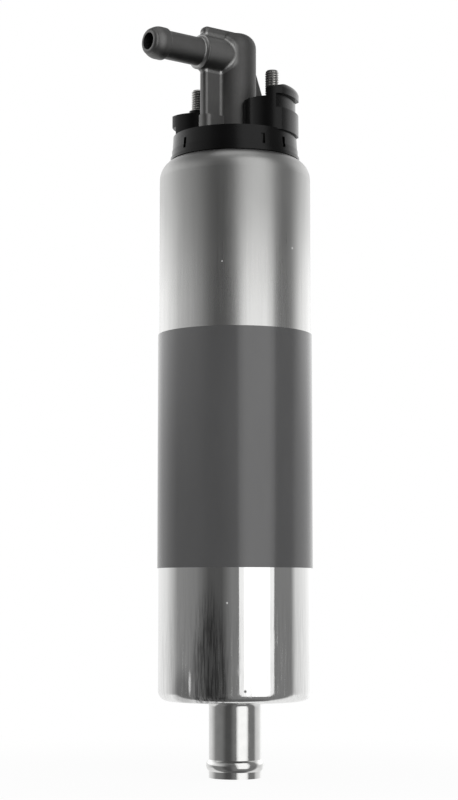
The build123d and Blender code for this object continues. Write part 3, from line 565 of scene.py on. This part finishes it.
# %% Cast zinc
# In millimetres: how far the nozzle's axis lies below the elbow's top, the radius of the boss
# round the nozzle, and where along x the boss ends in a small step. The column is at x = 0.
nozzle_drop, boss_radius, boss_end = 7.8, 4.9, -13.1
nozzle_line = (0.0, 0.0, 1000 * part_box("outlet_elbow")[1].z - nozzle_drop)
print("nozzle's axis at", round(nozzle_line[2], 1), "mm above the foot")


def cast_zinc(start):
    """Grey zinc, rougher on the column; painted shade there, painted highlight at the boss roots.
    """
    place = millimetres(start)
    grain = noise(place, 2.2, 4.0)
    clouds = noise(place, 0.35)
    away = away_from(stretched(place, 0.0, 1.0, 1.0), nozzle_line)
    along = part_of(place, "X")
    # Two places carry a painted highlight: the root where the boss meets the column, and the step's
    # edge.
    root_highlight = band(away, boss_radius - 0.15, boss_radius + 0.25)
    root_highlight = root_highlight * band(away, boss_radius + 1.4, boss_radius + 0.7)
    root_highlight = root_highlight * band(along, -12.6, -12.0) * band(along, -2.5, -4.3)
    step_highlight = band(abs(along - boss_end), 0.75, 0.25) * band(away, boss_radius + 0.5, boss_radius)
    # Painted highlight: the base colour is brighter and the roughness lower in these places.
    painted_highlight = start.sum("MAXIMUM", root_highlight, step_highlight) * (0.45 + grain * 0.6)
    # Painted shade: the column's base colour is darker, and its roughness is higher.
    column = band(along, -6.0, -3.0)
    tone = mix(clouds, (0.14, 0.139, 0.137), (0.175, 0.174, 0.172))
    tone = mix(column, tone, mix(clouds, (0.10, 0.099, 0.098), (0.125, 0.124, 0.123)))
    return surface(
        start, base_color=mix(painted_highlight, tone, (0.40, 0.40, 0.395)), metallic=1.0,
        roughness=0.47 + column * 0.1 + (grain - 0.5) * 0.14 - painted_highlight * 0.2,
        normal=bump(grain, 0.04, 0.5),
    )


# %% Threaded plate
poles = ("plus", "minus")
stud_middles = []
for pole in poles:
    low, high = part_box("terminal_stud_" + pole)
    stud_middles.append((500 * (low.x + high.x), 500 * (low.y + high.y), 0.0))
print("studs in mm:", [(round(x, 1), round(y, 1)) for x, y, z in stud_middles])


def threaded_plate(start):
    """Plated steel, with painted shade in the bottom of the thread of each stud."""
    place = millimetres(start)
    grain = noise(place, 4.0, 4.0)
    flat = stretched(place, 1.0, 1.0, 0.0)
    from_middle = start.sum("MINIMUM", *(away_from(flat, middle) for middle in stud_middles))
    # Painted shade: the base colour darkens and roughens towards the thread's root.
    thread_shade = band(from_middle, 1.92, 1.68)  # the crest is at 2.0 and the root at 1.57
    return surface(
        start, base_color=mix(thread_shade, (0.74, 0.73, 0.71), (0.26, 0.26, 0.255)), metallic=1.0,
        roughness=0.2 + (grain - 0.5) * 0.08 + thread_shade * 0.2, normal=bump(grain, 0.004, 0.5),
    )


plain.update(stacked_iron=stacked_iron, cast_zinc=cast_zinc, threaded_plate=threaded_plate)
for name, shader in plain.items():
    finishes[name] = make_finish(name, shader)
print("finishes:", ", ".join(finishes))

# %% Give each CAD part its finish
wears = {
    "drawn_steel": ["shell"],
    "sleeve_film": ["body_sleeve"],
    "bright_plate": ["inlet_cover"],
    "threaded_plate": ["terminal_stud_plus", "terminal_stud_minus"],
    "cast_zinc": ["outlet_elbow"],
    "ground_steel": ["armature_shaft", "relief_ball", "pump_screws", "inlet_strainer"],
    "spring_steel": [
        "magnet_clips", "relief_spring", "check_valve_spring", "brush_spring_plus",
        "brush_spring_minus",
    ],
    "sintered_iron": ["inner_rotor", "outer_rotor"],
    "stacked_iron": ["lamination_stack", "flux_tube"],
    "sintered_bronze": ["lower_bush", "upper_bush", "thrust_washer"],
    "brass": ["check_valve_seat", "check_valve_poppet", "relief_plug"],
    "copper": ["commutator", "contact_plate_plus", "contact_plate_minus"],
    "enamelled_copper": ["armature_windings"],
    "stage_plate": ["pump_inlet_plate", "gear_housing", "pump_outlet_plate"],
    "black_nylon": ["end_cover"],
    "brown_resin": ["drive_coupling", "commutator_hub"],
    "seal_rubber": ["inlet_seal", "end_seal", "elbow_seal", "stud_seals"],
    "ferrite": ["magnet_first", "magnet_second", "choke_plus", "choke_minus"],
    "carbon": ["brush_plus", "brush_minus"],
    "holder_nylon": ["brush_holder"],
}
for name, worn_by in wears.items():
    for part in worn_by:
        nodes[part].data.materials.clear()
        nodes[part].data.materials.append(finishes[name])
dressed = {part for worn_by in wears.values() for part in worn_by}
print("parts without a finish:", sorted(set(nodes) - dressed))

# %% [markdown]
# ## Wire, and anything else that follows a line
#
# Springs, coils and threads are all a section carried along a line. Curves in Blender can do
# that, but here the result is a mesh. So one helper takes the points of a line and wraps a
# ring of corners round each. It carries the ring's direction from point to point, so that the
# tube never twists.

# %% A tube along points
def skin(rings, sides):
    """Faces between rings of corners, with a flat face at each end."""
    faces = [tuple(range(sides))[::-1]]
    for ring in range(rings - 1):
        for n in range(sides):
            first, second = ring * sides + n, ring * sides + (n + 1) % sides
            faces.append((first, second, second + sides, first + sides))
    faces.append(tuple(range((rings - 1) * sides, rings * sides)))
    return faces


def tube(points, radius, sides=8):
    """Corners and faces of a closed round tube along a line of points."""
    points = np.array(points, float)
    along = np.gradient(points, axis=0)
    along /= np.linalg.norm(along, axis=1)[:, None]
    # Any direction that isn't along the line will do for the first ring.
    side = np.cross(along[0], (0.3, 0.2, 1.0) if abs(along[0][2]) < 0.9 else (1.0, 0.2, 0.1))
    angles = np.linspace(0, 2 * math.pi, sides, endpoint=False)
    corners = []
    for point, forward in zip(points, along):
        side = side - forward * side.dot(forward)
        side /= np.linalg.norm(side)
        other = np.cross(forward, side)
        corners += [point + radius * (math.cos(a) * side + math.sin(a) * other) for a in angles]
    return corners, skin(len(points), sides)


print("faces of a straight tube with 8 sides:", len(skin(2, 8)))

# %% From corners and faces to a piece
def joined(parts):
    """Several sets of corners and faces as one."""
    corners, faces = [], []
    for some_corners, some_faces in parts:
        shift = len(corners)
        corners += list(some_corners)
        faces += [tuple(n + shift for n in face) for face in some_faces]
    return corners, faces


def add_piece(name, shape, finish, node, body):
    """A smooth object from corners and faces in metres, in the place of a CAD node."""
    corners, faces = shape
    mesh = bpy.data.meshes.new(name)
    mesh.from_pydata([tuple(map(float, corner)) for corner in corners], [], faces)
    mesh.validate()
    mesh.materials.append(finishes[finish])
    piece = bpy.data.objects.new(name, mesh)
    bpy.context.scene.collection.objects.link(piece)
    mesh.shade_smooth()
    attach(piece, body)
    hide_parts(node)
    print(name, "faces:", len(mesh.polygons))
    return piece


# %% [markdown]
# ## Springs
#
# A compression spring is wound with its last turns closed, so that it stands flat: the wire
# rises hardly at all at each end and evenly in between. The CAD spring is a plain coil of
# arcs. This one keeps its radius, wire and length, and adds the closed ends. Each spring has
# one end on something that moves. What would be left of its length at the joint's limit, its
# length less the joint's travel, is printed. Each wound spring stops a little short of what it
# pushes on.

# %% A helix
def round_about(centre, radius, angle, height):
    """The point at an angle on a level circle."""
    return centre[0] + radius * math.cos(angle), centre[1] + radius * math.sin(angle), height


def helix(centre, radius, low, high, turns, closed=0.0, steps=28):
    """Points of a coil. Closed is the share of the turns at each end that barely rise."""
    points = []
    least_climb = 0.06
    for n in range(int(turns * steps) + 1):
        share = n / (turns * steps)
        climb = min(max((share - closed) / (1 - 2 * closed), 0.0), 1.0)
        climb = (1 - least_climb) * climb + least_climb * share
        angle = 2 * math.pi * turns * share
        points.append(round_about(centre, radius, angle, low + (high - low) * climb))
    return points


print("points in one turn:", len(helix((0, 0), 1, 0, 1, turns=1)) - 1)

# %% Coil springs
joints = frame["record"]["behaviour"]["joints"]
ranges = {joint["name"]: joint["range_m"] for joint in joints if "range_m" in joint}
travel = {name: abs(end - start) for name, (start, end) in ranges.items()}
gap = 0.0002
# Each spring has its joint, the radius of its wire, its turns and which end is fixed.
springs = {
    "check_valve_spring": ("check_valve_lift", 0.00025, 8.5, "high"),
    "relief_spring": ("relief_valve_lift", 0.000225, 8.5, "low"),
    "brush_spring_plus": ("brush_plus_slide", 0.00025, 9.5, "high"),
    "brush_spring_minus": ("brush_minus_slide", 0.00025, 9.5, "high"),
}
for node, (joint, wire, turns, fixed) in springs.items():
    low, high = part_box(node)
    centre = (low + high) / 2
    radius = (high.x - low.x) / 2 - wire
    bottom = low.z + wire + (gap if fixed == "high" else 0.0)
    top = high.z - wire - (gap if fixed == "low" else 0.0)
    points = helix(centre, radius, bottom, top, turns, closed=0.1)
    piece = add_piece(
        node + "_wound", tube(points, wire), "spring_steel", node, "housing",
    )
    length = high.z - low.z
    1 - travel[joint] / length
    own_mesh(piece)
    left = round(1000 * (length - travel[joint]), 2)
    print(node, "length in mm:", round(1000 * length, 2), "and at the joint's limit:", left)

# %% [markdown]
# ## Threaded studs
#
# The studs carry an M4 thread, which catches the light as a row of fine bright lines. A
# thread is a height field wrapped round a cylinder: how far a point is from the axis depends
# only on how far it is along the helix. So the stud is a grid of corners, round and up, and
# each corner's radius comes from the thread's profile, cut down by the bevel at the tip. The
# head and shank under it are the CAD stud's own mesh, cut off where the thread starts.

# %% A thread
# In shares of the pitch, the crest is flat for an eighth, each flank takes five sixteenths
# and the root is flat for a quarter.
major, pitch, depth = 0.002, 0.0007, 0.00043
half_crest, flank = 0.0625, 0.3125


def thread_radius(rise, turn):
    """The radius of a 60 degree thread at a height and a share of a turn."""
    share = (rise / pitch - turn) % 1.0
    slope = min(max((abs(share - 0.5) - half_crest) / flank, 0.0), 1.0)
    return major - depth * slope


def threaded_rod(centre, low, high, bevel=0.0005, sides=48, rings_to_pitch=10):
    """A rod with a thread all the way up and a bevelled tip."""
    count = int((high - low) / pitch * rings_to_pitch)
    corners = []
    for ring in range(count + 1):
        height = low + (high - low) * ring / count
        limit = major - max(0.0, bevel - (high - height))
        for n in range(sides):
            turn = n / sides
            radius = min(thread_radius(height - low, turn), limit)
            corners.append(round_about(centre, radius, 2 * math.pi * turn, height))
    return corners, skin(count + 1, sides)


print("turns of thread to each centimetre:", round(0.01 / pitch, 1))

# %% Studs
def below(node, height):
    """What of a CAD part lies below a height, closed with a flat face."""
    mesh = bmesh.new()
    mesh.from_mesh(nodes[node].data)
    cut = bmesh.ops.bisect_plane(
        mesh, geom=mesh.verts[:] + mesh.edges[:] + mesh.faces[:], plane_co=(0, 0, height),
        plane_no=(0, 0, 1), clear_outer=True,
    )
    rim = [part for part in cut["geom_cut"] if isinstance(part, bmesh.types.BMEdge)]
    bmesh.ops.holes_fill(mesh, edges=rim)
    mesh.verts.index_update()
    corners = [tuple(v.co) for v in mesh.verts]
    faces = [tuple(v.index for v in face.verts) for face in mesh.faces]
    mesh.free()
    return corners, faces


shank_top, overlap = 0.19, 0.0001
for pole in poles:
    node = "terminal_stud_" + pole
    low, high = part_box(node)
    rod = threaded_rod((low + high) / 2, shank_top - overlap, high.z)
    stud = joined([below(node, shank_top), rod])
    piece = add_piece(
        "threaded_stud_" + pole, stud, "threaded_plate", node, "housing",
    )
    piece.data.set_sharp_from_angle(angle=math.radians(50))

# %% [markdown]
# ## The wound armature
#
# Eight coils lie in the eight slots of the iron. Each coil goes up one slot, across the end
# round the shaft to the third slot on, down that, and back below. In CAD they are one solid.
# Here every turn is its own wire, so that the ends show crossed bundles of enamelled copper.
# The coils lie on top of each other in the order they were wound, which is why each one
# reaches a little further out than the one before.

# %% One turn of wire
# A slot holds four wires side by side, two of each of its two coils, in seven rows.
slots, rows, columns = 8, 7, 2
wire, wire_pitch = 0.00034, 0.00072
# The row nearest the shaft lies at row_radius in the slots and crosses the end of the iron at
# crossing_radius. Each further row crosses crossing_step further out.
row_radius, crossing_radius, crossing_step = 0.0077, 0.0054, 0.00066
# A turn leaves the iron by end_gap, then rises. Each coil and each column rises a little more.
end_gap, least_rise, coil_rise, column_rise = 0.0004, 0.0010, 0.00064, 0.00066
iron_low, iron_high = (corner.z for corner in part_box("lamination_stack"))


def across(first, last, side, height, radius, inner, steps=14):
    """A turn's run over the end of the iron, from slot angle first to last."""
    base = iron_high if side > 0 else iron_low
    points = []
    for n in range(steps + 1):
        share = n / steps
        over = math.sin(math.pi * share) ** 0.7
        angle = first + (last - first) * share
        rise = base + side * (end_gap + height * over)
        points.append(round_about((0, 0), radius + (inner - radius) * over, angle, rise))
    return points


def turn_of_coil(coil, row, column):
    """One turn: across the top from the coil's first slot to its third, and back below."""
    radius = row_radius + wire_pitch * row
    first = 2 * math.pi * coil / slots + wire_pitch * (column - 1.5) / radius
    last = 2 * math.pi * (coil + 3) / slots + wire_pitch * (column + 0.5) / radius
    height = least_rise + coil_rise * coil + column_rise * column
    inner = crossing_radius + crossing_step * row
    top = across(first, last, 1, height, radius, inner)
    bottom = across(last, first, -1, height, radius, inner)
    return top + bottom + top[:1]


print("iron from", round(1000 * iron_low, 1), "to", round(1000 * iron_high, 1), "mm")

# %% Coils
turns = [
    tube(turn_of_coil(coil, row, column), wire, sides=6)
    for coil in range(slots) for row in range(rows) for column in range(columns)
]
add_piece(
    "wound_coils", joined(turns), "enamelled_copper", "armature_windings", "armature",
)
print("turns of wire:", len(turns))

# %% [markdown]
# ## The chokes
#
# Between each brush and its stud the current goes through a choke, which keeps the brushes'
# sparking off the car's radio. It is a ferrite rod with one tight layer of thick wire. The
# two ends of the wire run on along the rod to the contact below and the stud above.

# %% Chokes
# The radius of the coil and of its wire, the distance between its turns, and its leads.
coil_radius, thick, turn_pitch, lead_length = 0.0022, 0.0004, 0.00082, 0.003
# The rod's end from its rim inwards: a radius, and how far that is from the very end.
rod_end = [(0.0014, 0.0), (0.0017, 0.0002), (0.0018, 0.0005)]


def lathe(centre, profile, sides=32):
    """A solid turned about an upright line, from pairs of radius and height."""
    corners = [
        round_about(centre, radius, 2 * math.pi * n / sides, height)
        for radius, height in profile for n in range(sides)
    ]
    return corners, skin(len(profile), sides)


def lead(end, height, steps=4):
    """Points straight up or down from a coil's end to a height, without the end itself."""
    x, y, z = end
    return [(x, y, z + (height - z) * n / steps) for n in range(1, steps + 1)]


for pole in poles:
    node = "choke_" + pole
    low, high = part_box(node)
    centre = (low + high) / 2
    coil_low, coil_high = low.z + lead_length, high.z - lead_length
    windings = round((coil_high - coil_low) / turn_pitch)
    coil = helix(centre, coil_radius, coil_low, coil_high, windings, steps=20)
    winding = tube(lead(coil[0], low.z)[::-1] + coil + lead(coil[-1], high.z), thick)
    add_piece("choke_coil_" + pole, winding, "enamelled_copper", node, "housing")
    profile = [(radius, low.z + inwards) for radius, inwards in rod_end]
    profile += [(radius, high.z - inwards) for radius, inwards in reversed(rod_end)]
    rod = lathe(centre, profile)
    core = add_piece("choke_core_" + pole, rod, "ferrite", node, "housing")
    core.data.set_sharp_from_angle(angle=math.radians(40))
